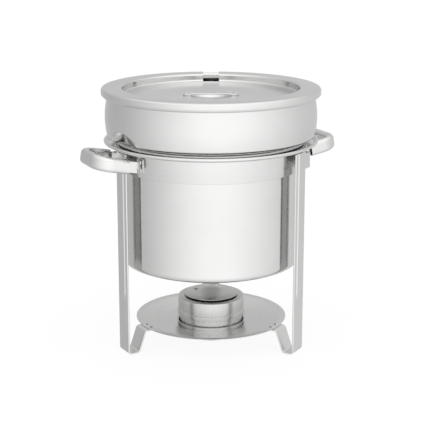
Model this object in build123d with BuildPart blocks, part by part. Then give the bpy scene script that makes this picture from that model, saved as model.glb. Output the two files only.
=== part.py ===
"""Soup kettle for a buffet: a food pan in a water pan, on a three-legged stand over a fuel burner.

Units are millimetres. +Z is up, and the origin is on the ground under the centre of the kettle.
Angles are in degrees about +Z, counted from +X. The front of the kettle faces -Y.
"""
from build123d import *
import os
from math import asin, atan2, cos, degrees, radians, sin, sqrt, tan

os.makedirs("parts", exist_ok=True)

# ---------------------------------------------------------------- driving dimensions
# Clearances
SEAT_GAP = 0.3              # vertical gap where a lift-off part rests on the one below
RIM_GAP = 0.3               # radial gap between the lid's skirt and the food pan's rim
RIVET_GAP = 0.05            # radial gap between a fixed rivet and its hole
TAIL_GAP = 0.1              # gap between a flat rivet tail and the round wall behind it
PIVOT_GAP = 0.08            # radial running gap of the shutter on its rivet
PIVOT_END_GAP = 0.1         # gap above and below the shutter on its rivet

# Stand
STAND_HEIGHT = 272.2        # ground to the top of the band's flange
BAND_GAUGE = 1.2
BAND_HEIGHT = 30.2          # band with its flange
BAND_CLEARANCE = 1.5        # radial gap between the band and the water pan
BAND_FLANGE = 4.0           # how far the band's top flange stands out
LEG_GAUGE = 2.0
LEG_WIDTH = 27.0
LEG_STANDOFF = 8.3          # band to the leg's inner face
LEG_TOP_DROP = 2.0          # top of the band's flange to the top of the leg
LEG_BEND = 4.0              # bend radius of the strip's middle at the foot
LEG_ANGLES = {"left": -150, "right": -30, "rear": 90}
FOOT_RUN = 15.5             # tray's edge to where the foot meets the ground
FOOT_TURN = 5.2             # tray's edge to where the foot turns in under it
RIB_WIDTH = 15.5            # pressed rib that stiffens the leg
RIB_HEIGHT = 1.2
RIB_FOOT = 74.0             # ground to the rib's rounded lower end
RIB_TAPER = 40.0

# Brackets between the band and the legs
LEG_BRACKET_GAUGE = 1.5
LEG_BRACKET_HEIGHT = 20.0
LEG_BRACKET_DROP = 5.0      # underside of the band's flange to the bracket
LEG_BRACKET_OVERLAP = 9.0   # how far the bracket runs behind the leg past its middle
LEG_BRACKET_REACH = 33.5    # leg's middle to the bracket's outer bend
LEG_BRACKET_FLANGE = 12.0   # flange that is riveted to the band
LEG_BRACKET_BEND = 2.5
LEG_BRACKET_CORNER = 3.0    # rounded corners at the bracket's two free ends
LEG_BRACKET_RIVET_INSET = 4.5
LEG_BRACKET_SIDES = {"left": -1, "right": 1, "rear": 1}

# Fuel tray
TRAY_RADIUS = 101.7
TRAY_GAUGE = 1.0
TRAY_HEIGHT = 30.0          # ground to the underside of the tray's margin
TRAY_MARGIN = 9.7
TRAY_SHOULDER = 12.0        # bend radius between the margin and the dish's slope
TRAY_DISH = 5.0             # depth of the dish below the margin
TRAY_FLOOR_RADIUS = 60.0    # outer edge of the dish's flat floor
TRAY_RIVET_INSET = 5.2
TRAY_RIVET_SPACING = 13.0
WELL_DEPTH = 18.3           # dish floor to well floor
WELL_CLEARANCE = 1.0        # radial gap between the burner and its well

# Burner
BURNER_RADIUS = 42.5
BURNER_HEIGHT = 50.9
BURNER_GAUGE = 0.8
CAP_CLEARANCE = 1.5         # radial gap between the cap's skirt and the cup
CAP_HEIGHT = 25.0
CAP_STEP = 5.0              # height of the skirt's stepped lower edge
FLAME_HOLE_RADIUS = 21.0
SHUTTER_RADIUS = 36.6
SHUTTER_GAUGE = 1.0
WASHER_GAUGE = 1.5
WASHER_RADIUS = 5.0
PIVOT_MARGIN = 4.4          # flame hole's edge to the pivot's middle
PIVOT_ANGLE = 144.6

# Pans
PAN_GAUGE = 1.0
WATER_PAN_RADIUS = 120.0
WATER_PAN_DEPTH = 161.5     # seat to underside
WATER_PAN_CORNER = 8.0
WATER_RIM_WIDTH = 22.0      # outside of the wall to the outside of the rolled bead
WATER_RIM_HEIGHT = 5.5      # seat to the bead's top
WATER_RIM_TURN = 3.0        # width of the slope up to the bead's middle
WATER_BEAD_RADIUS = 2.0
WATER_JACKET = 5.0          # radial gap for water between the two pans
WATER_UNDER = 13.0          # depth of water under the food pan
FOOD_PAN_CORNER = 12.0
FOOD_SEAT = 12.0            # width of the ledge that the food pan rests on
FOOD_STEP = 7.7             # ledge to the underside of the bulge
FOOD_STEP_LEAN = 1.0
NECK_SETBACK = 5.0          # outside of the water pan's bead to outside of the neck
BULGE_HEIGHT = 51.0
BULGE_CORNER = 4.5
BULGE_SWELL = 5.0           # how far outside the neck the bulge's end tangents meet
BULGE_CURVE = 108.0
RIM_WIDTH = 6.2             # rolled rim beyond the neck
RIM_HEIGHT = 12.2
RIM_TURN = 10.0             # height of the rolled rim's outer wall before it curls under
DIMPLE_ANGLES = (-145, 35)
DIMPLE_CURVE = 96.0         # radius of the pressing tool
DIMPLE_HEIGHT = 14.0
DIMPLE_TUCK = 8.1           # how far the dimple runs in under the bulge

# Lid
LID_GAUGE = 1.0
LID_FLANGE = 27.9           # width of the flat flange
LID_SKIRT = 7.5
LID_DEPTH = 10.5            # flange to the recess's floor
FINGER_DISH_RADIUS = 26.0   # round dish under the strap handle, which gives the fingers room
FINGER_DISH_DEPTH = 9.0
FINGER_DISH_SLOPE = 7.0     # width of the dish's sloping side
NOTCH_WIDTH = 22.5          # ladle notch
LID_HANDLE_LENGTH = 74.0
LID_HANDLE_WIDTH = 28.0
LID_HANDLE_GAUGE = 1.5
LID_HANDLE_GAP = 1.6        # how far the strap stands clear of the recess's floor
LID_HANDLE_FOOT = 9.5
LID_HANDLE_RAMP = 3.0
LID_HANDLE_CORNER = 9.0
LID_RIVET_SPACING = 14.0

# Carrying handles
HANDLE_ANGLES = {"left": -155, "right": 25}
HANDLE_SPAN = 70.0          # between the middles of the two bars
HANDLE_START = 9.0          # band to the open ends of the tube, along the handle's middle
HANDLE_REACH = 53.3         # band to the outside of the grip
HANDLE_TUBE_HEIGHT = 19.0
HANDLE_TUBE_WIDTH = 11.0
HANDLE_TUBE_GAUGE = 1.2
HANDLE_BEND = 20.0
HANDLE_DROP = 15.5          # top of the band's flange to the middle of the tube's ends
HANDLE_SLOPE = 10.5         # degrees
HANDLE_BRACKET_GAUGE = 1.5
HANDLE_BRACKET_EAR = 10.0   # width of the plate that takes the rivets
HANDLE_BRACKET_CORNER = 3.0
HANDLE_TONGUE_REACH = 12.0  # how far the bracket's tongue runs up inside the tube
HANDLE_TONGUE_GAP = 1.2     # gap above and below the tongue inside the tube
HANDLE_RIVET_SPACING = 10.5

# Rivets: shank radius, head radius, head height, tail radius, tail height
PLATE_RIVET = (1.6, 2.8, 1.1, 2.6, 0.8)
LID_RIVET = (1.8, 3.4, 1.0, 3.0, 0.8)
PIVOT_RIVET = (2.0, 4.0, 1.2, 3.4, 0.8)

# ---------------------------------------------------------------- derived places
band_inner = WATER_PAN_RADIUS + BAND_CLEARANCE
band_outer = band_inner + BAND_GAUGE
flange_outer = band_outer + BAND_FLANGE
flange_underside = STAND_HEIGHT - BAND_GAUGE

leg_inner = band_outer + LEG_STANDOFF
leg_outer = leg_inner + LEG_GAUGE
leg_middle = leg_inner + LEG_GAUGE / 2
leg_top = STAND_HEIGHT - LEG_TOP_DROP

tray_middle = TRAY_HEIGHT + TRAY_GAUGE / 2
tray_top = TRAY_HEIGHT + TRAY_GAUGE
dish_middle = tray_middle - TRAY_DISH
well_wall = BURNER_RADIUS + WELL_CLEARANCE + TRAY_GAUGE / 2
well_middle = dish_middle - WELL_DEPTH
tray_slope = atan2(TRAY_DISH, TRAY_RADIUS - TRAY_MARGIN - TRAY_FLOOR_RADIUS)
tray_flat_inner = TRAY_RADIUS - TRAY_MARGIN + TRAY_SHOULDER * tan(tray_slope / 2)
tray_rivet_radius = TRAY_RADIUS - TRAY_RIVET_INSET

burner_bottom = well_middle + TRAY_GAUGE / 2 + SEAT_GAP
burner_top = burner_bottom + BURNER_HEIGHT
cap_wall = BURNER_RADIUS + CAP_CLEARANCE + BURNER_GAUGE / 2
cap_middle = burner_top + SEAT_GAP + BURNER_GAUGE / 2
cap_top = cap_middle + BURNER_GAUGE / 2
cap_bottom = cap_top - CAP_HEIGHT
pivot_distance = FLAME_HOLE_RADIUS + PIVOT_MARGIN
pivot = (pivot_distance * cos(radians(PIVOT_ANGLE)), pivot_distance * sin(radians(PIVOT_ANGLE)))
shutter_bottom = cap_top + WASHER_GAUGE + PIVOT_END_GAP
shutter_top = shutter_bottom + SHUTTER_GAUGE

water_seat = STAND_HEIGHT + SEAT_GAP
water_bottom = water_seat - WATER_PAN_DEPTH
water_wall = WATER_PAN_RADIUS - PAN_GAUGE / 2
water_bead_outer = WATER_PAN_RADIUS + WATER_RIM_WIDTH
water_bead_middle = water_bead_outer - WATER_BEAD_RADIUS
water_bead_height = water_seat + WATER_RIM_HEIGHT - WATER_BEAD_RADIUS

food_bottom = water_bottom + PAN_GAUGE + WATER_UNDER
food_wall = WATER_PAN_RADIUS - PAN_GAUGE - WATER_JACKET - PAN_GAUGE / 2
food_ledge = water_seat + PAN_GAUGE + SEAT_GAP + PAN_GAUGE / 2
bulge_middle = food_ledge + FOOD_STEP
neck_wall = water_bead_outer - NECK_SETBACK - PAN_GAUGE / 2
neck_height = bulge_middle + BULGE_HEIGHT
rim_wall = neck_wall + RIM_WIDTH
rim_middle = neck_height + RIM_HEIGHT - PAN_GAUGE
rim_top = rim_middle + PAN_GAUGE / 2

lid_wall = rim_wall + PAN_GAUGE / 2 + RIM_GAP + LID_GAUGE / 2
lid_outer = lid_wall + LID_GAUGE / 2
lid_middle = rim_top + SEAT_GAP + LID_GAUGE / 2
recess_wall = lid_outer - LID_FLANGE + LID_GAUGE / 2
lid_floor_middle = lid_middle - LID_DEPTH
lid_floor = lid_floor_middle + LID_GAUGE / 2


# ---------------------------------------------------------------- helpers
def section_plane(angle):
    """Upright plane through the kettle's axis: local x points out, local y points up."""
    turn = radians(angle)
    return Plane(origin=(0, 0, 0), x_dir=(cos(turn), sin(turn), 0), z_dir=(sin(turn), -cos(turn), 0))


def facing_plane(angle, radius, height=0.0, aside=0.0):
    """Upright plane that faces out: local x runs counter-clockwise, local y points up."""
    turn = radians(angle)
    out = Vector(cos(turn), sin(turn), 0)
    along = Vector(-sin(turn), cos(turn), 0)
    return Plane(origin=out * radius + along * aside + Vector(0, 0, height), x_dir=along, z_dir=out)


def turned_sheet(points, radii, gauge):
    """Sheet metal turned about Z, from a rounded outline of the sheet's middle."""
    with BuildPart() as sheet:
        with BuildSketch(Plane.XZ):
            with BuildLine():
                FilletPolyline(*points, radius=radii)
            trace(line_width=gauge)
        revolve(axis=Axis.Z)
    return sheet.part


def make_rivet(size, grip):
    """Rivet along Z, with its domed head on z = 0 and its flat tail below the grip."""
    shank, head, head_height, tail, tail_height = size
    dome = (head ** 2 + head_height ** 2) / (2 * head_height)
    with BuildPart() as rivet:
        with BuildSketch(Plane.XZ):
            with BuildLine():
                Polyline((0, head_height), (0, -grip - tail_height), (tail, -grip - tail_height),
                         (tail, -grip), (shank, -grip), (shank, 0), (head, 0))
                RadiusArc((head, 0), (0, head_height), -dome)
            make_face()
        revolve(axis=Axis.Z)
    return rivet.part


def drill(planes, shank):
    """Rivet holes through the piece being built, one at each plane."""
    with Locations(*planes):
        Cylinder(shank + RIVET_GAP, 3 * LEG_GAUGE, mode=Mode.SUBTRACT)


# ---------------------------------------------------------------- stand: legs and their brackets
bracket_top = flange_underside - LEG_BRACKET_DROP
bracket_bottom = bracket_top - LEG_BRACKET_HEIGHT
bracket_middle = leg_inner - LEG_BRACKET_GAUGE / 2
bracket_flange_middle = band_outer + LEG_BRACKET_GAUGE / 2
bracket_flange_aside = LEG_BRACKET_REACH - LEG_BRACKET_GAUGE - LEG_BRACKET_FLANGE / 2
bracket_flange_turn = degrees(asin(bracket_flange_aside / bracket_flange_middle))
bracket_rivet_heights = (
    bracket_bottom + LEG_BRACKET_RIVET_INSET,
    bracket_top - LEG_BRACKET_RIVET_INSET,
)
bracket_rivet_planes = [
    facing_plane(angle + LEG_BRACKET_SIDES[name] * bracket_flange_turn,
                 band_outer + LEG_BRACKET_GAUGE, height)
    for name, angle in LEG_ANGLES.items()
    for height in bracket_rivet_heights
]
tray_rivet_planes = [
    Plane(origin=facing_plane(angle, tray_rivet_radius, tray_top, aside).origin)
    for angle in LEG_ANGLES.values()
    for aside in (-TRAY_RIVET_SPACING / 2, TRAY_RIVET_SPACING / 2)
]

leg_path = (
    (leg_middle, leg_top),
    (leg_middle, LEG_GAUGE / 2),
    (TRAY_RADIUS + FOOT_RUN, LEG_GAUGE / 2),
    (TRAY_RADIUS + FOOT_TURN, TRAY_HEIGHT - LEG_GAUGE / 2),
    (tray_flat_inner, TRAY_HEIGHT - LEG_GAUGE / 2),
)
rib_radius = RIB_WIDTH / 2
rib_middle = (leg_top + RIB_FOOT + rib_radius) / 2
rib_length = leg_top - RIB_FOOT - rib_radius

for name, angle in LEG_ANGLES.items():
    with BuildPart() as leg:
        with BuildSketch(section_plane(angle)):
            with BuildLine():
                FilletPolyline(*leg_path, radius=LEG_BEND)
            trace(line_width=LEG_GAUGE)
        extrude(amount=LEG_WIDTH / 2, both=True)
        for face_radius, narrowing, mode in (
            (leg_inner, LEG_GAUGE / 2, Mode.SUBTRACT),
            (leg_outer, 0, Mode.ADD),
        ):
            with BuildSketch(facing_plane(angle, face_radius)):
                with Locations((0, rib_middle)):
                    Rectangle(RIB_WIDTH - 2 * narrowing, rib_length)
                with Locations((0, RIB_FOOT + rib_radius)):
                    Circle(rib_radius - narrowing)
            extrude(amount=RIB_HEIGHT, taper=RIB_TAPER, mode=mode)
        drill(tray_rivet_planes, PLATE_RIVET[0])
    leg.part.label = f"leg_{name}"
    export_step(leg.part, f"parts/leg_{name}.step")

for name, angle in LEG_ANGLES.items():
    side = LEG_BRACKET_SIDES[name]
    flange_turn = radians(bracket_flange_turn)
    flange_spot = Vector(cos(flange_turn), sin(flange_turn)) * bracket_flange_middle
    flange_run = Vector(-sin(flange_turn), cos(flange_turn)) * (LEG_BRACKET_FLANGE / 2)
    bracket_path = (
        Vector(bracket_middle, -LEG_BRACKET_OVERLAP),
        Vector(bracket_middle, LEG_BRACKET_REACH - LEG_BRACKET_GAUGE / 2),
        flange_spot + flange_run,
        flange_spot - flange_run,
    )
    with BuildPart() as leg_bracket:
        with BuildSketch(Plane.XY.offset(bracket_bottom).rotated((0, 0, angle))):
            with BuildLine():
                FilletPolyline(*((point.X, side * point.Y) for point in bracket_path),
                               radius=LEG_BRACKET_BEND)
            trace(line_width=LEG_BRACKET_GAUGE)
        extrude(amount=LEG_BRACKET_HEIGHT)
        ends = leg_bracket.edges().filter_by(GeomType.LINE)
        ends = ends.filter_by(lambda edge: abs(edge.length - LEG_BRACKET_GAUGE) < 0.01)
        fillet(ends, LEG_BRACKET_CORNER)
        drill(bracket_rivet_planes, PLATE_RIVET[0])
    leg_bracket.part.label = f"leg_bracket_{name}"
    export_step(leg_bracket.part, f"parts/leg_bracket_{name}.step")

leg_bracket_rivet = make_rivet(PLATE_RIVET, LEG_BRACKET_GAUGE + BAND_GAUGE + TAIL_GAP)
with BuildPart() as leg_bracket_rivets:
    with Locations(*bracket_rivet_planes):
        add(leg_bracket_rivet)
leg_bracket_rivets.part.label = "leg_bracket_rivets"
export_step(leg_bracket_rivets.part, "parts/leg_bracket_rivets.step")

# ---------------------------------------------------------------- carrying handles
handle_face = band_outer + HANDLE_BRACKET_GAUGE
handle_height = STAND_HEIGHT - HANDLE_DROP
handle_start = band_outer + HANDLE_START
handle_run = (HANDLE_REACH - HANDLE_START - HANDLE_TUBE_WIDTH / 2) / cos(radians(HANDLE_SLOPE))
tongue_height = HANDLE_TUBE_HEIGHT - 2 * (HANDLE_TUBE_GAUGE + HANDLE_TONGUE_GAP)
plate_middle = (band_outer + handle_face) / 2
tongue_root = handle_start - sqrt(plate_middle ** 2 - (HANDLE_SPAN / 2) ** 2)
ear_offsets = (
    HANDLE_SPAN / 2 - HANDLE_BRACKET_GAUGE / 2,
    HANDLE_SPAN / 2 - HANDLE_BRACKET_GAUGE / 2 + HANDLE_BRACKET_EAR,
)
ear_turns = [degrees(asin(offset / handle_face)) for offset in ear_offsets]
ear_rivet_turn = (ear_turns[0] + ear_turns[1]) / 2 + HANDLE_BRACKET_GAUGE / 4
handle_sides = {"front": -1, "back": 1}


def handle_plane(angle):
    """Sloping plane of a handle: local x points out and up, local y runs along the grip."""
    turn = radians(angle)
    slope = radians(HANDLE_SLOPE)
    return Plane(
        origin=(handle_start * cos(turn), handle_start * sin(turn), handle_height),
        x_dir=(cos(turn) * cos(slope), sin(turn) * cos(slope), sin(slope)),
        z_dir=(-cos(turn) * sin(slope), -sin(turn) * sin(slope), cos(slope)),
    )


def front_sign(angle):
    """+1 where the handle's local y runs towards the front of the kettle, else -1."""
    return 1 if cos(radians(angle)) < 0 else -1


handle_rivet_planes = [
    facing_plane(angle + side * ear_rivet_turn, handle_face, handle_height + rise)
    for angle in HANDLE_ANGLES.values()
    for side in handle_sides.values()
    for rise in (-HANDLE_RIVET_SPACING / 2, HANDLE_RIVET_SPACING / 2)
]

for name, angle in HANDLE_ANGLES.items():
    with BuildPart() as handle:
        with BuildLine(handle_plane(angle)) as loop:
            FilletPolyline(
                (0, -HANDLE_SPAN / 2),
                (handle_run, -HANDLE_SPAN / 2),
                (handle_run, HANDLE_SPAN / 2),
                (0, HANDLE_SPAN / 2),
                radius=HANDLE_BEND,
            )
        across = Vector(-sin(radians(angle)), cos(radians(angle)), 0)
        with BuildSketch(Plane(origin=loop.line @ 0, x_dir=across, z_dir=loop.line % 0)):
            SlotOverall(HANDLE_TUBE_HEIGHT, HANDLE_TUBE_WIDTH, rotation=90)
            SlotOverall(HANDLE_TUBE_HEIGHT - 2 * HANDLE_TUBE_GAUGE,
                        HANDLE_TUBE_WIDTH - 2 * HANDLE_TUBE_GAUGE, rotation=90, mode=Mode.SUBTRACT)
        sweep()
    handle.part.label = f"handle_{name}"
    export_step(handle.part, f"parts/handle_{name}.step")

for name, angle in HANDLE_ANGLES.items():
    for end, end_side in handle_sides.items():
        side = -end_side * front_sign(angle)
        turns = sorted(angle + side * turn for turn in ear_turns)
        with BuildPart() as handle_bracket:
            with BuildSketch(section_plane(turns[0])):
                with Locations((plate_middle, handle_height)):
                    Rectangle(HANDLE_BRACKET_GAUGE, HANDLE_TUBE_HEIGHT)
            revolve(axis=Axis.Z, revolution_arc=turns[1] - turns[0])
            corners = handle_bracket.edges().filter_by(GeomType.LINE)
            corners = corners.filter_by(lambda edge: abs(edge.length - HANDLE_BRACKET_GAUGE) < 0.01)
            fillet(corners, HANDLE_BRACKET_CORNER)
            with BuildSketch(handle_plane(angle)):
                with Locations(((HANDLE_TONGUE_REACH - tongue_root) / 2, side * HANDLE_SPAN / 2)):
                    Rectangle(HANDLE_TONGUE_REACH + tongue_root, HANDLE_BRACKET_GAUGE)
            extrude(amount=tongue_height / 2, both=True)
            with Locations((0, 0, handle_height)):
                Cylinder(band_outer, 2 * HANDLE_TUBE_HEIGHT, mode=Mode.SUBTRACT)
            drill(handle_rivet_planes, PLATE_RIVET[0])
        handle_bracket.part.label = f"handle_bracket_{name}_{end}"
        export_step(handle_bracket.part, f"parts/handle_bracket_{name}_{end}.step")

handle_rivet = make_rivet(PLATE_RIVET, HANDLE_BRACKET_GAUGE + BAND_GAUGE + TAIL_GAP)
with BuildPart() as handle_rivets:
    with Locations(*handle_rivet_planes):
        add(handle_rivet)
handle_rivets.part.label = "handle_rivets"
export_step(handle_rivets.part, "parts/handle_rivets.step")

# ---------------------------------------------------------------- stand: band and fuel tray
with BuildPart() as stand_band:
    with BuildSketch(Plane.XZ):
        with BuildLine():
            FilletPolyline(
                (band_inner + BAND_GAUGE / 2, STAND_HEIGHT - BAND_HEIGHT),
                (band_inner + BAND_GAUGE / 2, STAND_HEIGHT - BAND_GAUGE / 2),
                (flange_outer, STAND_HEIGHT - BAND_GAUGE / 2),
                radius=BAND_GAUGE,
            )
        trace(line_width=BAND_GAUGE)
    revolve(axis=Axis.Z)
    drill(bracket_rivet_planes + handle_rivet_planes, PLATE_RIVET[0])
stand_band.part.label = "stand_band"
export_step(stand_band.part, "parts/stand_band.step")

tray_sheet = turned_sheet(
    (
        (0, well_middle),
        (well_wall, well_middle),
        (well_wall, dish_middle),
        (TRAY_FLOOR_RADIUS, dish_middle),
        (TRAY_RADIUS - TRAY_MARGIN, tray_middle),
        (TRAY_RADIUS, tray_middle),
    ),
    (4 * TRAY_GAUGE, 3 * TRAY_GAUGE, 30 * TRAY_GAUGE, TRAY_SHOULDER),
    TRAY_GAUGE,
)
with BuildPart() as fuel_tray:
    add(tray_sheet)
    drill(tray_rivet_planes, PLATE_RIVET[0])
fuel_tray.part.label = "fuel_tray"
export_step(fuel_tray.part, "parts/fuel_tray.step")

tray_rivet = make_rivet(PLATE_RIVET, TRAY_GAUGE + LEG_GAUGE)
with BuildPart() as tray_rivets:
    with Locations(*tray_rivet_planes):
        add(tray_rivet)
tray_rivets.part.label = "tray_rivets"
export_step(tray_rivets.part, "parts/tray_rivets.step")

# ---------------------------------------------------------------- fuel burner
burner_wall = BURNER_RADIUS - BURNER_GAUGE / 2
with BuildPart() as burner_cup:
    add(turned_sheet(
        (
            (0, burner_bottom + BURNER_GAUGE / 2),
            (burner_wall, burner_bottom + BURNER_GAUGE / 2),
            (burner_wall, burner_top),
        ),
        4 * BURNER_GAUGE,
        BURNER_GAUGE,
    ))
burner_cup.part.label = "burner_cup"
export_step(burner_cup.part, "parts/burner_cup.step")

pivot_plane = Plane(origin=(*pivot, shutter_top + PIVOT_END_GAP))
with BuildPart() as burner_cap:
    add(turned_sheet(
        (
            (FLAME_HOLE_RADIUS, cap_middle),
            (cap_wall, cap_middle),
            (cap_wall, cap_bottom + CAP_STEP + BURNER_GAUGE),
            (cap_wall + BURNER_GAUGE, cap_bottom + CAP_STEP),
            (cap_wall + BURNER_GAUGE, cap_bottom),
        ),
        (3 * BURNER_GAUGE, BURNER_GAUGE / 2, BURNER_GAUGE / 2),
        BURNER_GAUGE,
    ))
    drill([Plane(origin=(*pivot, cap_middle))], PIVOT_RIVET[0])
burner_cap.part.label = "burner_cap"
export_step(burner_cap.part, "parts/burner_cap.step")

with BuildPart() as shutter_washer:
    with BuildSketch(Plane(origin=(*pivot, cap_top))):
        Circle(WASHER_RADIUS)
        Circle(PIVOT_RIVET[0] + RIVET_GAP, mode=Mode.SUBTRACT)
    extrude(amount=WASHER_GAUGE)
shutter_washer.part.label = "shutter_washer"
export_step(shutter_washer.part, "parts/shutter_washer.step")

with BuildPart() as burner_shutter:
    with BuildSketch(Plane.XY.offset(shutter_bottom)):
        Circle(SHUTTER_RADIUS)
        with Locations(pivot):
            Circle(PIVOT_RIVET[0] + PIVOT_GAP, mode=Mode.SUBTRACT)
    extrude(amount=SHUTTER_GAUGE)
burner_shutter.part.label = "burner_shutter"
export_step(burner_shutter.part, "parts/burner_shutter.step")

shutter_rivet_part = make_rivet(PIVOT_RIVET, pivot_plane.origin.Z - cap_top + BURNER_GAUGE)
with BuildPart() as shutter_rivet:
    with Locations(pivot_plane):
        add(shutter_rivet_part)
shutter_rivet.part.label = "shutter_rivet"
export_step(shutter_rivet.part, "parts/shutter_rivet.step")

# ---------------------------------------------------------------- water pan
with BuildPart() as water_pan:
    add(turned_sheet(
        (
            (0, water_bottom + PAN_GAUGE / 2),
            (water_wall, water_bottom + PAN_GAUGE / 2),
            (water_wall, water_seat + PAN_GAUGE / 2),
            (water_bead_middle - WATER_RIM_TURN, water_seat + PAN_GAUGE / 2),
            (water_bead_middle, water_bead_height),
        ),
        (WATER_PAN_CORNER, 2.5 * PAN_GAUGE, 2 * PAN_GAUGE),
        PAN_GAUGE,
    ))
    with BuildSketch(Plane.XZ):
        with Locations((water_bead_middle, water_bead_height)):
            Circle(WATER_BEAD_RADIUS)
    revolve(axis=Axis.Z)
water_pan.part.label = "water_pan"
export_step(water_pan.part, "parts/water_pan.step")

# ---------------------------------------------------------------- food pan
bulge_outline = (
    (neck_wall, bulge_middle),
    (neck_wall + BULGE_SWELL, bulge_middle + BULGE_HEIGHT / 2),
    (neck_wall, neck_height),
)
bulge_radii = (BULGE_CORNER, BULGE_CURVE, 1.5 * PAN_GAUGE)
food_sheet = turned_sheet(
    (
        (0, food_bottom + PAN_GAUGE / 2),
        (food_wall, food_bottom + PAN_GAUGE / 2),
        (food_wall, food_ledge),
        (food_wall + FOOD_SEAT, food_ledge),
        (food_wall + FOOD_SEAT + FOOD_STEP_LEAN, bulge_middle),
        *bulge_outline,
        (neck_wall, rim_middle),
        (rim_wall, rim_middle),
        (rim_wall, rim_middle - RIM_TURN),
        (neck_wall + RIM_WIDTH / 4, rim_middle - RIM_TURN),
    ),
    (FOOD_PAN_CORNER, 4 * PAN_GAUGE, 3 * PAN_GAUGE, 3 * PAN_GAUGE, *bulge_radii,
     2.5 * PAN_GAUGE, 3.5 * PAN_GAUGE, 4.5 * PAN_GAUGE),
    PAN_GAUGE,
)
# The dimples are pressed by a ball that reaches in over the bulge's lower corner.
dimple_lean = Vector(DIMPLE_TUCK, DIMPLE_HEIGHT).normalized()
dimple_middle = Vector(neck_wall - DIMPLE_TUCK / 2, bulge_middle + DIMPLE_HEIGHT / 2)
dimple_centre = dimple_middle + Vector(dimple_lean.Y, -dimple_lean.X) * DIMPLE_CURVE
with BuildPart() as bulge_filling:
    with BuildSketch(Plane.XZ):
        with BuildLine():
            FilletPolyline((0, bulge_middle), *bulge_outline, (0, neck_height),
                           radius=(*bulge_radii,))
            Line((0, neck_height), (0, bulge_middle))
        make_face()
    revolve(axis=Axis.Z)
dimple_planes = [
    facing_plane(angle, dimple_centre.X, dimple_centre.Y) for angle in DIMPLE_ANGLES
]
bulge_side = Pos(0, 0, bulge_middle - PAN_GAUGE) * Cylinder(
    3 * neck_wall, BULGE_HEIGHT, align=(Align.CENTER, Align.CENTER, Align.MIN))
dimple_cuts = [plane * Sphere(DIMPLE_CURVE) & bulge_side for plane in dimple_planes]
dimple_blanks = [plane * Sphere(DIMPLE_CURVE + PAN_GAUGE) & bulge_filling.part for plane in dimple_planes]
with BuildPart() as food_pan:
    add(food_sheet)
    add(dimple_blanks)
    add(dimple_cuts, mode=Mode.SUBTRACT)
food_pan.part.label = "food_pan"
export_step(food_pan.part, "parts/food_pan.step")

# ---------------------------------------------------------------- lid
strap_height = lid_floor + LID_HANDLE_GAP + LID_HANDLE_GAUGE / 2
strap_foot_height = lid_floor + LID_HANDLE_GAUGE / 2
strap_end = LID_HANDLE_LENGTH / 2
strap_knee = strap_end - LID_HANDLE_FOOT
lid_rivet_planes = [
    Plane(origin=(x * (strap_end - LID_HANDLE_FOOT / 2), y * LID_RIVET_SPACING / 2,
                  lid_floor + LID_HANDLE_GAUGE))
    for x in (-1, 1)
    for y in (-1, 1)
]
lid_sheet = turned_sheet(
    (
        (0, lid_floor_middle - FINGER_DISH_DEPTH),
        (FINGER_DISH_RADIUS - FINGER_DISH_SLOPE, lid_floor_middle - FINGER_DISH_DEPTH),
        (FINGER_DISH_RADIUS, lid_floor_middle),
        (recess_wall, lid_floor_middle),
        (recess_wall, lid_middle),
        (lid_wall, lid_middle),
        (lid_wall, lid_middle - LID_SKIRT),
    ),
    (6 * LID_GAUGE, 2 * LID_GAUGE, 3 * LID_GAUGE, 2 * LID_GAUGE, 3 * LID_GAUGE),
    LID_GAUGE,
)
with BuildPart() as lid:
    add(lid_sheet)
    with BuildSketch(Plane.XY.offset(lid_floor)):
        with Locations((0, lid_outer)):
            Rectangle(NOTCH_WIDTH, 2 * LID_FLANGE + 6 * LID_GAUGE)
    extrude(amount=2 * LID_DEPTH, mode=Mode.SUBTRACT)
    drill(lid_rivet_planes, LID_RIVET[0])
lid.part.label = "lid"
export_step(lid.part, "parts/lid.step")

with BuildPart() as lid_handle:
    with BuildSketch(Plane.XZ):
        with BuildLine():
            FilletPolyline(
                (-strap_end, strap_foot_height),
                (-strap_knee, strap_foot_height),
                (-strap_knee + LID_HANDLE_RAMP, strap_height),
                (strap_knee - LID_HANDLE_RAMP, strap_height),
                (strap_knee, strap_foot_height),
                (strap_end, strap_foot_height),
                radius=2 * LID_HANDLE_GAUGE,
            )
        trace(line_width=LID_HANDLE_GAUGE)
    extrude(amount=LID_HANDLE_WIDTH / 2, both=True)
    strap_corners = lid_handle.edges().filter_by(Axis.Z)
    fillet(strap_corners, LID_HANDLE_CORNER)
    drill(lid_rivet_planes, LID_RIVET[0])
lid_handle.part.label = "lid_handle"
export_step(lid_handle.part, "parts/lid_handle.step")

lid_rivet = make_rivet(LID_RIVET, LID_HANDLE_GAUGE + LID_GAUGE)
with BuildPart() as lid_handle_rivets:
    with Locations(*lid_rivet_planes):
        add(lid_rivet)
lid_handle_rivets.part.label = "lid_handle_rivets"
export_step(lid_handle_rivets.part, "parts/lid_handle_rivets.step")
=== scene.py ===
from math import atan2, cos, pi, radians, sin, tan

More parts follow.
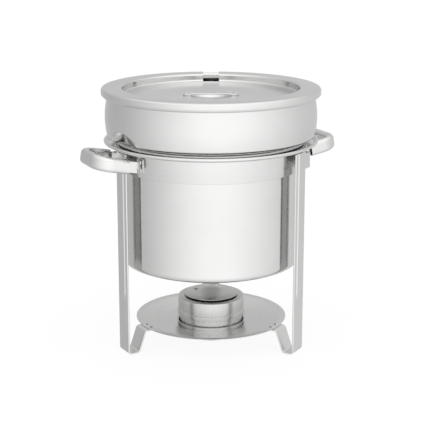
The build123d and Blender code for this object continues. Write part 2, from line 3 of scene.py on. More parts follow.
import bmesh
import bpy
import numpy as np
from bpy.props import FloatProperty, FloatVectorProperty, IntProperty, PointerProperty
from mathutils import Euler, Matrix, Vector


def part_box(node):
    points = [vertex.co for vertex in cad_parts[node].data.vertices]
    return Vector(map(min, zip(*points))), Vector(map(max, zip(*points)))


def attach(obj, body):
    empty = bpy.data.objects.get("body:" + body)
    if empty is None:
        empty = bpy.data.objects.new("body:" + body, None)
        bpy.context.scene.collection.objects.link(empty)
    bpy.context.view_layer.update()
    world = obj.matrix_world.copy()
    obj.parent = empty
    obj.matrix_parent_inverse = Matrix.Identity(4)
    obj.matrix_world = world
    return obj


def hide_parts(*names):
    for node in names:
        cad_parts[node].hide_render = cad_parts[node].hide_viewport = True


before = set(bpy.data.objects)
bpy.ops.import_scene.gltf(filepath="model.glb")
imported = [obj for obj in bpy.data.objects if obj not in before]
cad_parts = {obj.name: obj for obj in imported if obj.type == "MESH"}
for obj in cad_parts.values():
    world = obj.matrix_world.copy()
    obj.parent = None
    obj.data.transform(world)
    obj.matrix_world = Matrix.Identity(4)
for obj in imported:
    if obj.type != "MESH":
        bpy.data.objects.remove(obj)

bl_info = {
    "name": "Soup kettle",
    "version": (1, 0, 0),
    "blender": (4, 5, 0),
    "location": "View3D > Sidebar > Kettle",
    "description": "Builds the sheet metal of a buffet soup kettle around its packed frame",
    "category": "Mesh",
}

LEG_ANGLES = {"leg_left": -150, "leg_right": -30, "leg_rear": 90}
HANDLE_ANGLES = {"handle_left": -155, "handle_right": 25}
DIMPLE_ANGLES = (-145, 35)
LID_TURNS = 360          # points round the lid
BURNER_TURNS = 256       # points round each piece of the burner


# ---------------------------------------------------------------- outlines
def rounded(points, radii, pitch=0.002):
    """Polyline with round corners.

    At each inner point the corner is replaced by the arc of the given radius that touches both
    runs: it starts radius * tan(turn / 2) before the point and turns about a centre one radius
    to the inside of the path. Arcs are divided at the pitch, or every 9 degrees if that is finer.
    """
    points = np.array(points, float)
    path = [points[0][None]]
    for before, corner, after, radius in zip(points, points[1:], points[2:], radii):
        come = (corner - before) / np.linalg.norm(corner - before)
        leave = (after - corner) / np.linalg.norm(after - corner)
        cross = come[0] * leave[1] - come[1] * leave[0]
        turn = atan2(cross, come @ leave)
        start = corner - come * radius * tan(abs(turn) / 2)
        inside = np.sign(turn) * np.array((-come[1], come[0]))
        centre = start + inside * radius
        steps = max(3, int(np.ceil(abs(turn) / radians(9))), int(np.ceil(abs(turn) * radius / pitch)))
        swing = np.linspace(0, turn, steps + 1)[:, None]
        spoke = start - centre
        path.append(centre + spoke * np.cos(swing) + np.array((-spoke[1], spoke[0])) * np.sin(swing))
    path.append(points[-1][None])
    path = np.concatenate(path)
    keep = np.append(True, np.linalg.norm(np.diff(path, axis=0), axis=1) > 1e-7)
    return path[keep]


def curl(centre, radius, start, end, steps=24):
    """Arc about a centre from one angle to another, in degrees, as a run of points."""
    turn = np.radians(np.linspace(start, end, steps + 1))[:, None]
    return np.array(centre) + radius * np.hstack((np.cos(turn), np.sin(turn)))


def sides(path):
    """Unit normals of a path, to its left, as the mean of the two runs that meet at each point."""
    runs = np.diff(path, axis=0)
    runs /= np.linalg.norm(runs, axis=1)[:, None]
    along = np.vstack((runs[:1], runs[:-1] + runs[1:], runs[-1:]))
    along /= np.linalg.norm(along, axis=1)[:, None]
    return np.stack((-along[:, 1], along[:, 0]), axis=1)


def sheet_outline(path, gauge):
    """Closed outline of sheet metal: the path moved half a gauge to each side along its normals.

    A free end is closed by a half circle of half the gauge. An end on the axis is closed by the
    axis itself, where the turned surface shuts.
    """
    half = gauge / 2
    normal = sides(path)
    left, right = path + normal * half, path - normal * half
    ends = []
    for point, side, way in ((path[-1], normal[-1], 1), (path[0], normal[0], -1)):
        if point[0] < 1e-6:
            ends.append(np.empty((0, 2)))
            continue
        turn = np.radians(np.linspace(0, 180, 7)[1:-1])[:, None]
        onward = way * np.array((side[1], -side[0]))
        ends.append(point + half * (way * side * np.cos(turn) + onward * np.sin(turn)))
    return np.concatenate((left, ends[0], right[::-1], ends[1]))


# ---------------------------------------------------------------- meshes
def grid_faces(rows, columns, around, closed):
    """Quads of a grid of points: rows wrap if around is true, columns wrap if closed is true."""
    row = np.arange(rows if around else rows - 1)[:, None]
    column = np.arange(columns if closed else columns - 1)[None, :]
    beside, below = (column + 1) % columns, (row + 1) % rows
    corners = (row * columns + column, row * columns + beside,
               below * columns + beside, below * columns + column)
    return np.stack(np.broadcast_arrays(*corners), axis=-1).reshape(-1, 4)


def make_piece(name, points, faces, sharp=35):
    """Mesh object from whole arrays, merged where rings shut, facing out, smooth up to an angle."""
    mesh = bpy.data.meshes.new(name)
    mesh.from_pydata(np.round(points, 9).tolist(), [], [list(face) for face in faces])
    work = bmesh.new()
    work.from_mesh(mesh)
    bmesh.ops.remove_doubles(work, verts=work.verts, dist=1e-6)
    bmesh.ops.recalc_face_normals(work, faces=work.faces)
    work.to_mesh(mesh)
    work.free()
    mesh.shade_smooth()
    mesh.set_sharp_from_angle(angle=radians(sharp))
    piece = bpy.data.objects.new(name, mesh)
    bpy.context.scene.collection.objects.link(piece)
    return piece


def turned(name, outline, shape=None, turns=None):
    """Surface of revolution: every outline point (r, z) goes round Z as (r cos a, r sin a, z)."""
    turns = turns or bpy.context.scene.kettle_sizes.turns
    angle = np.arange(turns) * 2 * pi / turns
    r, z = outline[:, 0][None], outline[:, 1][None]
    angle_column = angle[:, None]
    grid = np.stack((r * np.cos(angle_column), r * np.sin(angle_column), z + 0 * angle_column), axis=-1)
    if shape is not None:
        grid = shape(grid)
    faces = grid_faces(turns, len(outline), True, True)
    return make_piece(name, grid.reshape(-1, 3), faces)


def capped(rows, columns, faces):
    """Adds the two end faces of a run of closed sections."""
    ends = [list(range(columns)), list(range((rows - 1) * columns, rows * columns))]
    return faces.tolist() + ends


def strip(name, path, width, gauge, frame_axes, rib=None, corner=0.0015):
    """Flat strip that follows a path in an upright plane.

    Each section is a thin rectangle with round edges: across it runs the width, and the path's
    normal carries the gauge. Towards an end the half width follows a quarter circle of the corner
    radius. A rib lifts both faces by the height that it has at that place.
    """
    out, across = (np.array(axis, float) for axis in frame_axes)
    lengths = np.append(0, np.cumsum(np.linalg.norm(np.diff(path, axis=0), axis=1)))
    ends = corner * (1 - np.cos(np.radians(np.linspace(0, 90, 6))))
    stations = np.unique(np.concatenate((lengths, ends, lengths[-1] - ends)))
    spots = np.stack([np.interp(stations, lengths, path[:, k]) for k in (0, 1)], axis=1)
    normal = np.stack([np.interp(stations, lengths, sides(path)[:, k]) for k in (0, 1)], axis=1)
    from_end = np.clip(np.minimum(stations, lengths[-1] - stations), 0, corner)
    half = width / 2 - corner + np.sqrt(np.maximum(corner ** 2 - (corner - from_end) ** 2, 1e-12))
    edge = gauge * 0.3
    level = np.linspace(-1, 1, 33)
    turn = np.radians(np.linspace(90, -90, 7))[1:-1]
    aside = np.concatenate((level, 1 + 0 * turn, level[::-1], -1 + 0 * turn))
    proud = np.concatenate((0 * level, np.cos(turn), 0 * level, -np.cos(turn)))
    lift = np.concatenate((1 + 0 * level, np.sin(turn), -1 + 0 * level, -np.sin(turn)))
    v = aside * (half[:, None] - edge) + proud * edge
    n = lift * gauge / 2
    if rib is not None:
        n = n + rib(v, spots[:, 1][:, None])
    flat = spots[:, None, :] + normal[:, None, :] * n[..., None]
    grid = flat[..., :1] * out + across * v[..., None]
    grid[..., 2] += flat[..., 1]
    rows, columns = grid.shape[:2]
    faces = capped(rows, columns, grid_faces(rows, columns, False, True))
    return make_piece(name, grid.reshape(-1, 3), faces)


def smooth_step(value, low, high):
    """0 below low, 1 above high, and 3 t^2 - 2 t^3 between."""
    t = np.clip((value - low) / (high - low), 0, 1)
    return t * t * (3 - 2 * t)


# ---------------------------------------------------------------- shader expressions
CLOUD_SCALE = 14.0                        # slow cloud of wiped marks
MARK_SCALE = 60.0                         # smaller marks of use
HAIRLINE_TURN = (0.6, 0.3, 0.9)           # way that the crossing hairlines run
HAIRLINE_SCALE = (30.0, 1400.0, 900.0)


class Sock:
    """A shader value in an expression. Operators add Math nodes; numbers alone stay numbers."""

    def __init__(self, tree, socket):
        self.tree, self.socket = tree, socket

    def math(self, operation, *others):
        sockets = {0: self, **dict(enumerate(others, 1))}
        return self.tree.node("ShaderNodeMath", {"operation": operation}, sockets)

    def __add__(self, other):
        return self.math("ADD", other)

    def __sub__(self, other):
        return self.math("SUBTRACT", other)

    def __mul__(self, other):
        return self.math("MULTIPLY", other)

    def __pow__(self, other):
        return self.math("POWER", other)

    def __rsub__(self, other):
        return self.tree.node("ShaderNodeMath", {"operation": "SUBTRACT"}, {0: other, 1: self})

    __radd__, __rmul__ = __add__, __mul__

    def above(self, limit):
        """The value, but never under the limit."""
        return self.math("MAXIMUM", limit)

    def ramp(self, low, high):
        """0 to 1, smoothly, as the value goes from low to high."""
        return self.tree.node(
            "ShaderNodeMapRange", {"interpolation_type": "SMOOTHSTEP"}, {0: self, 1: low, 2: high})


class Shader:
    """Node tree that is built from expressions."""

    def __init__(self, tree):
        self.tree = tree
        tree.nodes.clear()

    def node(self, kind, settings=None, sockets=None, output=0):
        """One node: its settings first, then values or links for its sockets. Gives one output."""
        made = self.tree.nodes.new(kind)
        for key, value in (settings or {}).items():
            setattr(made, key, value)
        for key, value in (sockets or {}).items():
            if isinstance(value, Sock):
                self.tree.links.new(value.socket, made.inputs[key])
            else:
                made.inputs[key].default_value = value
        return Sock(self, made.outputs[output]) if made.outputs else made

    def split(self, vector):
        """The x, y and z of a vector."""
        parts = self.node("ShaderNodeSeparateXYZ", sockets={0: vector}).socket.node
        return [Sock(self, part) for part in parts.outputs]

    def join(self, x, y, z):
        """A vector of three values."""
        return self.node("ShaderNodeCombineXYZ", sockets={0: x, 1: y, 2: z})

    def noise(self, vector, scale, detail=2.0, rough=0.5):
        """Smooth noise from 0 to 1."""
        return self.node("ShaderNodeTexNoise", sockets={
            "Vector": vector, "Scale": scale, "Detail": detail, "Roughness": rough})


def steel(name, grain, colour=None, rough=None, depth=1.0):
    """Stainless steel with a directional grain.

    grain gives the noise vector of the polishing lines from the object coordinates. The lines
    vary the roughness and lift a very low bump; a slow cloud of wiped marks shifts both colour
    and roughness a little, and crossing hairlines add the fine scratches of use.
    """
    finish = bpy.context.scene.kettle_finish
    material = bpy.data.materials.new(name)
    material.use_nodes = True
    s = Shader(material.node_tree)
    place = s.node("ShaderNodeTexCoord", output="Object")
    lines = s.noise(grain(s, place), 1.0, 3.0, 0.6)
    cloud = s.noise(place, CLOUD_SCALE, 3.0, 0.55)
    marks = s.noise(place, MARK_SCALE, 4.0, 0.6)
    scratch = s.noise(s.node("ShaderNodeMapping", sockets={
        "Vector": place, "Rotation": HAIRLINE_TURN, "Scale": HAIRLINE_SCALE}), 1.0, 2.0)
    line, wipe, mark = lines - 0.5, cloud - 0.5, marks - 0.5
    tone = 0.93 + 0.10 * depth * line + 0.10 * wipe + 0.04 * mark
    base = s.node("ShaderNodeMix", {"data_type": "RGBA", "blend_type": "MULTIPLY"}, {
        0: 1.0, 6: (*(colour or finish.steel), 1.0), 7: s.join(tone, tone, tone)}, output=2)
    roughness = (rough or finish.roughness) + 0.10 * depth * line + 0.09 * wipe + 0.04 * mark
    height = lines + 0.25 * scratch
    bump = s.node("ShaderNodeBump", sockets={
        "Height": height, "Strength": 0.06 * depth, "Distance": 0.0004})
    surface = s.node("ShaderNodeBsdfPrincipled", sockets={
        "Base Color": base, "Metallic": 1.0, "Roughness": roughness, "Normal": bump})
    s.node("ShaderNodeOutputMaterial", sockets={"Surface": surface})
    return material


def spun(s, place):
    """Rings round the axis: fast along the profile, slow round it."""
    x, y, z = s.split(place)
    r = (x * x + y * y) ** 0.5
    return s.join(x * 6, y * 6, (r + 0.73 * z) * 1500)


def upright(s, place):
    """Lines up a round wall: fast round the axis, slow in height."""
    x, y, z = s.split(place)
    turn = s.node("ShaderNodeMath", {"operation": "ARCTAN2"}, {0: y, 1: x})
    return s.join(turn * 90, z * 14, 0.0)


def lengthwise(s, place):
    """Lines up a flat strip: fast across, slow in height."""
    x, y, z = s.split(place)
    return s.join(x * 1300, y * 1300, z * 12)


def along_x(s, place):
    """Lines along a strap that lies in X."""
    x, y, z = s.split(place)
    return s.join(x * 14, y * 1500, z * 400)


def even(s, place):
    """Fine even polish without a direction."""
    x, y, z = s.split(place)
    return s.join(x * 500, y * 500, z * 500)


def finish_piece(piece, material, slot, body, *nodes):
    """Gives a piece its material and body, and lets it stand for its CAD nodes."""
    piece.data.materials.append(material)
    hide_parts(*nodes)
    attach(piece, body)
    return piece


def top(node):
    """Highest corner of a node's box."""
    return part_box(node)[1]


def foot(node):
    """Lowest corner of a node's box."""
    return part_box(node)[0]


# ---------------------------------------------------------------- settings
def length(name, description, default):
    """A size in metres."""
    return FloatProperty(name=name, description=description, default=default, min=0.0,
                         subtype="DISTANCE", unit="LENGTH")


def colour_of(name, description, default):
    """A colour in linear values."""
    return FloatVectorProperty(name=name, description=description, default=default, size=3,
                               subtype="COLOR", min=0.0, max=1.0)


def share(name, description, default):
    """A value from 0 to 1."""
    return FloatProperty(name=name, description=description, default=default, min=0.0, max=1.0)


class KettleSizes(bpy.types.PropertyGroup):
    """Sizes of the sheet metal that the frame's boxes don't give."""

    turns: IntProperty(name="Turns", description="Points round each turned piece", default=384, min=48)
    gap: length("Seat gap", "Height between a loose part and what it rests on", 0.0003)
    pan_gauge: length("Pan gauge", "Thickness of the pans", 0.001)
    wall_to_bead: length("Rim width", "Water pan's wall to the outside of its bead", 0.022)
    bead: length("Bead", "Radius of the water pan's rolled bead", 0.002)
    jacket: length("Water jacket", "Gap between the two pans", 0.005)
    food_seat: length("Food seat", "Width of the ledge that the food pan rests on", 0.012)
    step_lean: length("Step lean", "How far the step above the ledge leans out", 0.001)
    rim_turn: length("Rim turn", "Height of the rim's outer wall before it curls under", 0.010)
    neck_width: length("Rim over neck", "Food pan's rim beyond its neck", 0.0062)
    neck_drop: length("Neck drop", "Rim top down to the neck", 0.0117)
    bulge: length("Bulge height", "Underside of the bulge to the neck", 0.051)
    swell: length("Swell", "How far outside the neck the bulge's end tangents meet", 0.005)
    dimple_curve: length("Dimple curve", "Radius of the dimples", 0.096)
    dimple_height: length("Dimple height", "Height of the dimples", 0.014)
    dimple_tuck: length("Dimple tuck", "How far the dimples run in under the bulge", 0.0081)
    dimple_ease: length("Dimple ease", "Depth over which a dimple's edge is softened", 0.0025)
    lid_gauge: length("Lid gauge", "Thickness of the lid", 0.001)
    lid_flange: length("Lid flange", "Width of the lid's flat flange", 0.0279)
    lid_depth: length("Lid depth", "Flange down to the recess's floor", 0.0105)
    lid_skirt: length("Lid skirt", "Height of the lid's outer edge", 0.0075)
    dish_radius: length("Dish radius", "Radius of the finger dish under the strap", 0.026)
    dish_slope: length("Dish slope", "Width of the finger dish's sloping side", 0.007)
    notch: length("Notch", "Width of the ladle notch", 0.0225)
    strap_gauge: length("Strap gauge", "Thickness of the lid's handle", 0.0015)
    strap_foot: length("Strap foot", "Length of each flat foot of the lid's handle", 0.0095)
    strap_ramp: length("Strap ramp", "Run from the foot up to the strap", 0.003)
    strap_corner: length("Strap corner", "Radius of the strap's ends", 0.009)
    band_gauge: length("Band gauge", "Thickness of the band", 0.0012)
    band_clearance: length("Band clearance", "Gap between the water pan and the band", 0.0015)
    tray_gauge: length("Tray gauge", "Thickness of the fuel tray", 0.001)
    tray_dish: length("Tray dish", "Depth of the dish below the margin", 0.005)
    tray_floor: length("Tray floor", "Radius of the dish's flat floor", 0.060)
    tray_margin: length("Tray margin", "Width of the tray's flat margin", 0.0097)
    well_wall: length("Well wall", "Burner to the middle of the well's wall", 0.0015)
    foot_run: length("Foot run", "Tray's edge to where the foot meets the ground", 0.0155)
    foot_turn: length("Foot turn", "Tray's edge to where the foot turns in under it", 0.0052)
    leg_bend: length("Leg bend", "Bend radius of the leg's middle", 0.004)
    tray_rise: length("Tray rise", "Well's underside up to the margin's underside", 0.0233)
    leg_gauge: length("Leg gauge", "Thickness of the legs", 0.002)
    rib_width: length("Rib width", "Width of the legs' pressed rib", 0.0155)
    rib_height: length("Rib height", "Height of the legs' pressed rib", 0.0012)
    rib_foot: length("Rib foot", "Ground to the rib's lower end", 0.074)
    rib_slope: length("Rib slope", "Width of the rib's sloping edge", 0.0014)
    tube_height: length("Tube height", "Height of the carrying handles' tube", 0.019)
    tube_width: length("Tube width", "Width of the carrying handles' tube", 0.011)
    tube_gauge: length("Tube gauge", "Wall of the carrying handles' tube", 0.0012)
    handle_span: length("Handle span", "Distance between the middles of a handle's bars", 0.070)
    handle_start: length("Handle start", "Kettle's axis to the open ends of the tube", 0.1317)
    handle_end: length("Handle end", "Kettle's axis to the middle of the grip", 0.1705)
    handle_bend: length("Handle bend", "Bend radius of the handle's middle", 0.02)
    handle_drop: length("Handle drop", "Band's top down to the middle of the tube's ends", 0.0155)
    handle_slope: FloatProperty(name="Handle slope", description="How steeply the handles rise",
                                default=radians(10.5), subtype="ANGLE", unit="ROTATION")
    cap_step: length("Cap step", "Height of the cap's stepped lower edge", 0.005)
    flame_hole: length("Flame hole", "Radius of the hole in the cap", 0.021)
    burner_gauge: length("Burner gauge", "Thickness of the burner's sheet", 0.0008)


class KettleFinish(bpy.types.PropertyGroup):
    """Colours and polish of the steel."""

    steel: colour_of("Steel", "Colour of the pans, the stand and the lid", (0.76, 0.76, 0.755))
    burner: colour_of("Burner", "Colour of the burner's steel", (0.66, 0.66, 0.65))
    roughness: share("Roughness", "Roughness of the satin finish", 0.2)


class KettleStudio(bpy.types.PropertyGroup):
    """Camera and light."""

    distance: length("Distance", "Camera to the kettle's middle", 1.636)
    pitch: FloatProperty(name="Pitch", description="How far the camera looks down",
                         default=radians(14.38), subtype="ANGLE", unit="ROTATION")
    aim: length("Aim height", "Height that the camera looks at", 0.1761)
    aside: length("Aside", "How far to the right of the kettle the camera stands", 0.0007)
    lens: FloatProperty(name="Lens", description="Focal length on a 36 mm sensor",
                        default=103.3, unit="CAMERA")
    floor: share("Floor", "Tone of the floor", 0.9)


# ---------------------------------------------------------------- pieces
def pan_levels():
    """Heights of the seat and the ledge, in the order in which the pans rest on the stand."""
    sizes = bpy.context.scene.kettle_sizes
    seat = top("stand_band").z + sizes.gap
    ledge = seat + sizes.pan_gauge * 1.5 + sizes.gap
    return seat, ledge


def water_pan():
    """Water pan: flat bottom, upright wall, flat rim and a rolled bead."""
    sizes = bpy.context.scene.kettle_sizes
    half = sizes.pan_gauge / 2
    seat, _ledge = pan_levels()
    outside, bottom, crown = top("water_pan").x, foot("water_pan").z + half, top("water_pan").z
    wall = outside - sizes.wall_to_bead - half
    roll = sizes.bead - half
    bead = (outside - sizes.bead, crown - sizes.bead)
    path = rounded(
        ((0, bottom), (wall, bottom), (wall, seat + half), (bead[0] - 2 * roll, seat + half),
         (bead[0] - roll, bead[1] - roll), (bead[0], bead[1] - roll)),
        (0.008, 0.0025, 0.001, 0.0008))
    path = np.vstack((path, curl(bead, roll, -90, 200)[1:]))
    return turned("water_pan_shell", sheet_outline(path, sizes.pan_gauge))


def food_pan():
    """Food pan: deep cylinder, ledge, bulged upper part, rolled rim and two pressed dimples."""
    sizes = bpy.context.scene.kettle_sizes
    half = sizes.pan_gauge / 2
    _seat, ledge = pan_levels()
    bottom = foot("food_pan").z + half
    wall = top("water_pan").x - sizes.wall_to_bead - sizes.pan_gauge - sizes.jacket - half
    rim, crown = top("food_pan").x - half, top("food_pan").z - half
    neck, neck_height = rim - sizes.neck_width, crown - sizes.neck_drop + half
    under = neck_height - sizes.bulge
    seat_edge, curl_height = wall + sizes.food_seat, crown - sizes.rim_turn
    path = rounded(
        ((0, bottom), (wall, bottom), (wall, ledge), (seat_edge, ledge),
         (seat_edge + sizes.step_lean, under), (neck, under),
         (neck + sizes.swell, under + sizes.bulge / 2), (neck, neck_height), (neck, crown),
         (rim, crown), (rim, curl_height), (neck + sizes.neck_width / 4, curl_height)),
        (0.012, 0.004, 0.003, 0.003, 0.0045, 0.108, 0.0015, 0.0025, 0.0035, 0.0045), pitch=0.0012)
    lean = np.array((sizes.dimple_tuck, sizes.dimple_height))
    lean /= np.linalg.norm(lean)
    middle = np.array((neck - sizes.dimple_tuck / 2, under + sizes.dimple_height / 2))
    centre = middle + np.array((lean[1], -lean[0])) * sizes.dimple_curve
    count = len(path)

    def press(grid):
        """Pushes what lies inside a ball out to its surface, and eases the edge of the dent."""
        outline_end = grid.shape[1]
        ball = np.full(outline_end, sizes.dimple_curve)
        ball[:count] += sizes.pan_gauge
        shaped = grid.copy()
        for angle in DIMPLE_ANGLES:
            turn = radians(angle)
            heart = np.array((centre[0] * cos(turn), centre[0] * sin(turn), centre[1]))
            away = shaped - heart
            distance = np.linalg.norm(away, axis=-1)
            ease = sizes.dimple_ease
            depth = ball - distance
            fade = ease * np.exp(-np.abs(depth) / (1.6 * ease))
            pushed = 0.5 * (depth + np.sqrt(depth ** 2 + ease ** 2) - fade)
            weight = smooth_step(shaped[..., 2], under - 0.002, under) * (depth > -2.4 * ease)
            shaped = shaped + away / distance[..., None] * (np.maximum(pushed, 0) * weight)[..., None]
        return shaped

    return turned("food_pan_shell", sheet_outline(path, sizes.pan_gauge), press)


class KETTLE_OT_pans(bpy.types.Operator):
    """Builds the water pan and the food pan"""

    bl_idname = "kettle.pans"
    bl_label = "Pans"

    def execute(self, context):
        satin = steel("pan_satin", spun, rough=0.13, depth=0.35)
        finish_piece(water_pan(), satin, "pan_steel", "water_pan", "water_pan")
        finish_piece(food_pan(), satin, "pan_steel", "food_pan", "food_pan")
        return {"FINISHED"}


class KETTLE_OT_lid(bpy.types.Operator):
    """Builds the lid with its ladle notch, and the strap handle"""

    bl_idname = "kettle.lid"
    bl_label = "Lid"

    def execute(self, context):
        sizes = context.scene.kettle_sizes
        half = sizes.lid_gauge / 2
        edge, crown = top("lid").x - half, top("lid").z - half
        dish, floor = foot("lid").z + half, crown - sizes.lid_depth
        wall = edge + half - sizes.lid_flange + half
        path = rounded(
            ((0, dish), (sizes.dish_radius - sizes.dish_slope, dish), (sizes.dish_radius, floor),
             (wall, floor), (wall, crown), (edge, crown), (edge, crown - sizes.lid_skirt)),
            (0.006, 0.002, 0.003, 0.002, 0.003))
        lid = turned("lid_shell", sheet_outline(path, sizes.lid_gauge), turns=LID_TURNS)
        self.cut_notch(lid, floor + half, wall, edge, sizes.notch)
        satin = steel("lid_satin", spun, rough=0.15, depth=0.5)
        finish_piece(lid, satin, "lid_steel", "lid", "lid")

        gauge = sizes.strap_gauge
        low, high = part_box("lid_handle")
        end, knee, ramp = high.x, high.x - sizes.strap_foot, sizes.strap_ramp
        foot_height, strap_height = low.z + gauge / 2, high.z - gauge / 2
        path = rounded(
            ((-end, foot_height), (-knee, foot_height), (-knee + ramp, strap_height),
             (knee - ramp, strap_height), (knee, foot_height), (end, foot_height)),
            (0.003,) * 4, pitch=0.001)
        axes = ((1, 0, 0), (0, 1, 0))
        strap = strip("lid_strap", path, high.y - low.y, gauge, axes, corner=sizes.strap_corner)
        finish_piece(strap, steel("strap_satin", along_x), "lid_steel", "lid", "lid_handle")
        return {"FINISHED"}

    def cut_notch(self, lid, floor, wall, edge, width):
        """Cuts the ladle notch at the back with a block that spans flange, skirt and upright wall."""
        x, y, z = width / 2, (wall - 0.0035, edge + 0.02), (floor, floor + 0.05)
        corners = [(a, b, c) for a in (-x, x) for b in y for c in z]
        block = make_piece("notch_block", np.array(corners), [
            (0, 1, 3, 2), (4, 6, 7, 5), (0, 4, 5, 1), (2, 3, 7, 6), (0, 2, 6, 4), (1, 5, 7, 3)])
        cut = lid.modifiers.new("notch", "BOOLEAN")
        cut.operation, cut.solver, cut.object = "DIFFERENCE", "EXACT", block
        graph = bpy.context.evaluated_depsgraph_get()
        notched = bpy.data.meshes.new_from_object(lid.evaluated_get(graph))
        lid.modifiers.clear()
        lid.data = notched
        lid.data.set_sharp_from_angle(angle=radians(35))
        bpy.data.objects.remove(block)


class KETTLE_OT_stand(bpy.types.Operator):
    """Builds the band, the fuel tray and the three legs"""

    bl_idname = "kettle.stand"
    bl_label = "Stand"

    def execute(self, context):
        sizes = context.scene.kettle_sizes
        low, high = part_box("stand_band")
        gauge = sizes.band_gauge
        inside = top("water_pan").x - sizes.wall_to_bead + sizes.band_clearance + gauge / 2
        crown = high.z - gauge / 2
        path = rounded(((inside, low.z), (inside, crown), (high.x, crown)), (gauge,))
        satin = steel("stand_satin", spun, rough=0.24)
        band = turned("stand_band_shell", sheet_outline(path, gauge))
        finish_piece(band, satin, "stand_steel", "stand", "stand_band")

        low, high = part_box("fuel_tray")
        gauge = sizes.tray_gauge
        margin, well = high.z - gauge / 2, low.z + gauge / 2
        well_edge, dish = top("burner_cup").x + sizes.well_wall, margin - sizes.tray_dish
        path = rounded(
            ((0, well), (well_edge, well), (well_edge, dish), (sizes.tray_floor, dish),
             (high.x - sizes.tray_margin, margin), (high.x, margin)),
            (0.004, 0.003, 0.030, 0.012))
        tray = turned("fuel_tray_shell", sheet_outline(path, gauge))
        finish_piece(tray, satin, "stand_steel", "stand", "fuel_tray")

        brushed = steel("leg_brushed", lengthwise)
        tray_edge, tab_height = high.x, low.z + sizes.tray_rise - sizes.leg_gauge / 2
        gauge = sizes.leg_gauge
        inner, outer = foot("leg_rear").y, top("leg_rear").y - sizes.rib_height - gauge / 2
        path = rounded(
            ((outer, top("leg_rear").z), (outer, gauge / 2), (tray_edge + sizes.foot_run, gauge / 2),
             (tray_edge + sizes.foot_turn, tab_height), (inner, tab_height)),
            (sizes.leg_bend,) * 3, pitch=0.0008)
        drop = np.linspace(top("leg_rear").z, 0.012, 90)[1:]
        path = np.vstack((path[:1], np.stack((outer + 0 * drop, drop), axis=1), path[1:]))

        def rib(v, z):
            """Height of the rib: full within its width, eased to nothing over its sloping edge."""
            reach = sizes.rib_width / 2
            below = np.maximum(sizes.rib_foot + reach - z, 0)
            away = np.sqrt(v ** 2 + below ** 2)
            return sizes.rib_height * (1 - smooth_step(away, reach - sizes.rib_slope, reach))

        for name, angle in LEG_ANGLES.items():
            turn = radians(angle)
            axes = ((cos(turn), sin(turn), 0), (-sin(turn), cos(turn), 0))
            leg = strip(f"{name}_strip", path, top("leg_rear").x * 2, gauge, axes, rib)
            finish_piece(leg, brushed, "stand_steel", "stand", name)
        return {"FINISHED"}


class KETTLE_OT_handles(bpy.types.Operator):
    """Builds the two carrying handles"""

    bl_idname = "kettle.handles"
    bl_label = "Carrying handles"

    def execute(self, context):
        polished = steel("handle_polished", even, rough=0.16, depth=0.5)
        for name, angle in HANDLE_ANGLES.items():
            finish_piece(self.tube(name, angle), polished, "handle_steel", "stand", name)
        return {"FINISHED"}

    def tube(self, name, angle):
        """Flattened tube along a loop.

        The loop is three runs with round corners in a plane that rises outwards. Each section is a
        stadium: two half circles of half the width, a straight run apart, upright to the loop. The
        outer skin, the inner skin and the two end rings shut the tube.
        """
        sizes = bpy.context.scene.kettle_sizes
        start, slope = sizes.handle_start, sizes.handle_slope
        reach = (sizes.handle_end - start) / cos(slope)
        half_span = sizes.handle_span / 2
        loop = rounded(
            ((0, -half_span), (reach, -half_span), (reach, half_span), (0, half_span)),
            (sizes.handle_bend,) * 2, pitch=0.0012)
        level = top("stand_band").z - sizes.handle_drop
        turn = radians(angle)
        out = np.array((cos(turn) * cos(slope), sin(turn) * cos(slope), sin(slope)))
        along = np.array((-sin(turn), cos(turn), 0))
        up = np.cross(out, along)
        origin = np.array((start * cos(turn), start * sin(turn), level))
        side = sides(loop)
        radius = sizes.tube_width / 2
        rise = sizes.tube_height / 2 - radius
        swing = np.radians(np.linspace(0, 180, 15))
        stadium_side = np.concatenate((np.cos(swing), -np.cos(swing)))
        stadium_up = np.concatenate((np.sin(swing), -np.sin(swing)))
        lift = np.concatenate((rise + 0 * swing, -rise + 0 * swing))
        rings = []
        for inset in (0, sizes.tube_gauge):
            across = stadium_side * (radius - inset)
            height = lift + stadium_up * (radius - inset)
            flat = loop[:, None, :] + side[:, None, :] * across[None, :, None]
            rings.append(origin + flat[..., :1] * out + flat[..., 1:] * along + height[None, :, None] * up)
        rows, columns = rings[0].shape[:2]
        faces = grid_faces(rows, columns, False, True)
        count = rows * columns
        column = np.arange(columns)
        beside = (column + 1) % columns
        ends = [np.stack((row * columns + column, row * columns + beside, count + row * columns + beside,
                          count + row * columns + column), axis=1) for row in (0, rows - 1)]
        faces = np.concatenate((faces, faces[:, ::-1] + count, ends[0][:, ::-1], ends[1]))
        return make_piece(f"{name}_tube", np.concatenate([ring.reshape(-1, 3) for ring in rings]), faces)


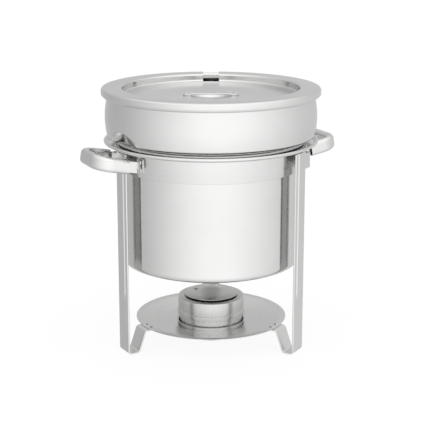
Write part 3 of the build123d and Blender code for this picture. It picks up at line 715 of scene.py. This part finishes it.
class KETTLE_OT_burner(bpy.types.Operator):
    """Builds the burner's cup, cap and shutter"""

    bl_idname = "kettle.burner"
    bl_label = "Burner"

    def execute(self, context):
        sizes = context.scene.kettle_sizes
        colour = tuple(context.scene.kettle_finish.burner)
        brushed = steel("burner_brushed", upright, colour, rough=0.26, depth=2.0)
        plate = steel("shutter_brushed", along_x, colour, rough=0.24, depth=1.5)
        gauge = sizes.burner_gauge
        low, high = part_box("burner_cup")
        wall, bottom = high.x - gauge / 2, low.z + gauge / 2
        path = rounded(((0, bottom), (wall, bottom), (wall, high.z)), (0.0032,))
        cup = turned("burner_cup_shell", sheet_outline(path, gauge), turns=BURNER_TURNS)
        finish_piece(cup, brushed, "burner_steel", "burner", "burner_cup")

        low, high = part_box("burner_cap")
        skirt, roof, step = high.x - gauge / 2, high.z - gauge / 2, low.z + sizes.cap_step
        wall = skirt - gauge
        path = rounded(
            ((sizes.flame_hole, roof), (wall, roof), (wall, step + gauge), (skirt, step), (skirt, low.z)),
            (0.0024, 0.0004, 0.0004))
        cap = turned("burner_cap_shell", sheet_outline(path, gauge), turns=BURNER_TURNS)
        finish_piece(cap, brushed, "burner_steel", "burner_cap", "burner_cap")

        low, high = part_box("burner_shutter")
        gauge = high.z - low.z
        middle, edge = high.z - gauge / 2, high.x - gauge / 2
        path = np.array(((0, middle), (high.x / 2, middle), (edge, middle)))
        disc = turned("burner_shutter_disc", sheet_outline(path, gauge), turns=BURNER_TURNS)
        finish_piece(disc, plate, "burner_steel", "shutter", "burner_shutter")
        return {"FINISHED"}


class KETTLE_OT_fittings(bpy.types.Operator):
    """Gives brackets, washer and rivets their steel"""

    bl_idname = "kettle.fittings"
    bl_label = "Brackets and rivets"

    def execute(self, context):
        bracket = steel("bracket_satin", even, rough=0.24)
        rivet = steel("rivet_satin", even, (0.7, 0.7, 0.69), rough=0.28)
        for name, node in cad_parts.items():
            if node.hide_render:
                continue
            node.data.materials.clear()
            node.data.materials.append(rivet if "rivet" in name else bracket)
        return {"FINISHED"}


# ---------------------------------------------------------------- studio
class KETTLE_OT_studio(bpy.types.Operator):
    """Sets up the floor, the light and the camera"""

    bl_idname = "kettle.studio"
    bl_label = "Studio"

    def execute(self, context):
        studio = context.scene.kettle_studio
        self.floor(studio)
        self.surroundings(context.scene)
        self.camera(context.scene, studio)
        context.scene.view_settings.view_transform = "Standard"
        return {"FINISHED"}

    def floor(self, studio):
        """Plain pale floor, lit mostly by its own glow, as a light table is."""
        half = 6.0
        corners = np.array(((-half, -half, 0), (half, -half, 0), (half, half, 0), (-half, half, 0)))
        floor = make_piece("studio_floor", corners, [(0, 1, 2, 3)])
        material = bpy.data.materials.new("floor_pale")
        material.use_nodes = True
        s = Shader(material.node_tree)
        surface = s.node("ShaderNodeBsdfPrincipled", sockets={
            "Base Color": (0.10, 0.10, 0.10, 1.0), "Roughness": 0.9, "Specular IOR Level": 0.0,
            "Emission Color": (1.0, 1.0, 1.0, 1.0), "Emission Strength": studio.floor})
        s.node("ShaderNodeOutputMaterial", sockets={"Surface": surface})
        floor.data.materials.append(material)
        floor.visible_glossy = False

    def surroundings(self, scene):
        """Even light all round: brightest in front and above, and a little brighter to the right."""
        world = bpy.data.worlds.new("studio_light")
        world.use_nodes = True
        scene.world = world
        s = Shader(world.node_tree)
        x, y, z = s.split(s.node("ShaderNodeTexCoord", output="Generated"))
        front = (y * -0.5 + 0.5).above(0.0)
        light = 0.64 + 0.70 * front ** 2.0 + 0.12 * x + 0.4 * z.ramp(0.3, 0.95)
        seen = s.node("ShaderNodeLightPath", output="Is Camera Ray")
        level = light * (1.0 - seen) + seen
        colour = s.join(level, level, level)
        glow = s.node("ShaderNodeBackground", sockets={"Color": colour, "Strength": 1.0})
        s.node("ShaderNodeOutputWorld", sockets={"Surface": glow})

    def camera(self, scene, studio):
        """Camera in front of the kettle, looking down at its middle."""
        data = bpy.data.cameras.new("studio_camera")
        data.lens, data.sensor_width, data.clip_start = studio.lens, 36.0, 0.01
        camera = bpy.data.objects.new("studio_camera", data)
        rise = studio.distance * sin(studio.pitch)
        camera.location = (studio.aside, -studio.distance * cos(studio.pitch), studio.aim + rise)
        camera.rotation_euler = Euler((pi / 2 - studio.pitch, 0, 0))
        scene.collection.objects.link(camera)
        scene.camera = camera


OPERATORS = (
    KETTLE_OT_studio, KETTLE_OT_pans, KETTLE_OT_lid, KETTLE_OT_stand, KETTLE_OT_handles,
    KETTLE_OT_burner, KETTLE_OT_fittings,
)


class KETTLE_PT_sidebar(bpy.types.Panel):
    """Lists the kettle's operators in the 3D view's sidebar"""

    bl_idname = "KETTLE_PT_sidebar"
    bl_label = "Soup kettle"
    bl_space_type = "VIEW_3D"
    bl_region_type = "UI"
    bl_category = "Kettle"

    def draw(self, context):
        for operator in OPERATORS:
            self.layout.operator(operator.bl_idname)


GROUPS = {"kettle_sizes": KettleSizes, "kettle_finish": KettleFinish, "kettle_studio": KettleStudio}


def register():
    for group in (*GROUPS.values(), *OPERATORS, KETTLE_PT_sidebar):
        bpy.utils.register_class(group)
    for name, group in GROUPS.items():
        setattr(bpy.types.Scene, name, PointerProperty(type=group))


def unregister():
    for name in GROUPS:
        delattr(bpy.types.Scene, name)
    for group in reversed((*GROUPS.values(), *OPERATORS, KETTLE_PT_sidebar)):
        bpy.utils.unregister_class(group)


def main():
    """Builds everything in order."""
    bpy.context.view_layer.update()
    register()
    for operator in OPERATORS:
        group, name = operator.bl_idname.split(".")
        getattr(getattr(bpy.ops, group), name)()


if __name__ == "__main__":
    main()
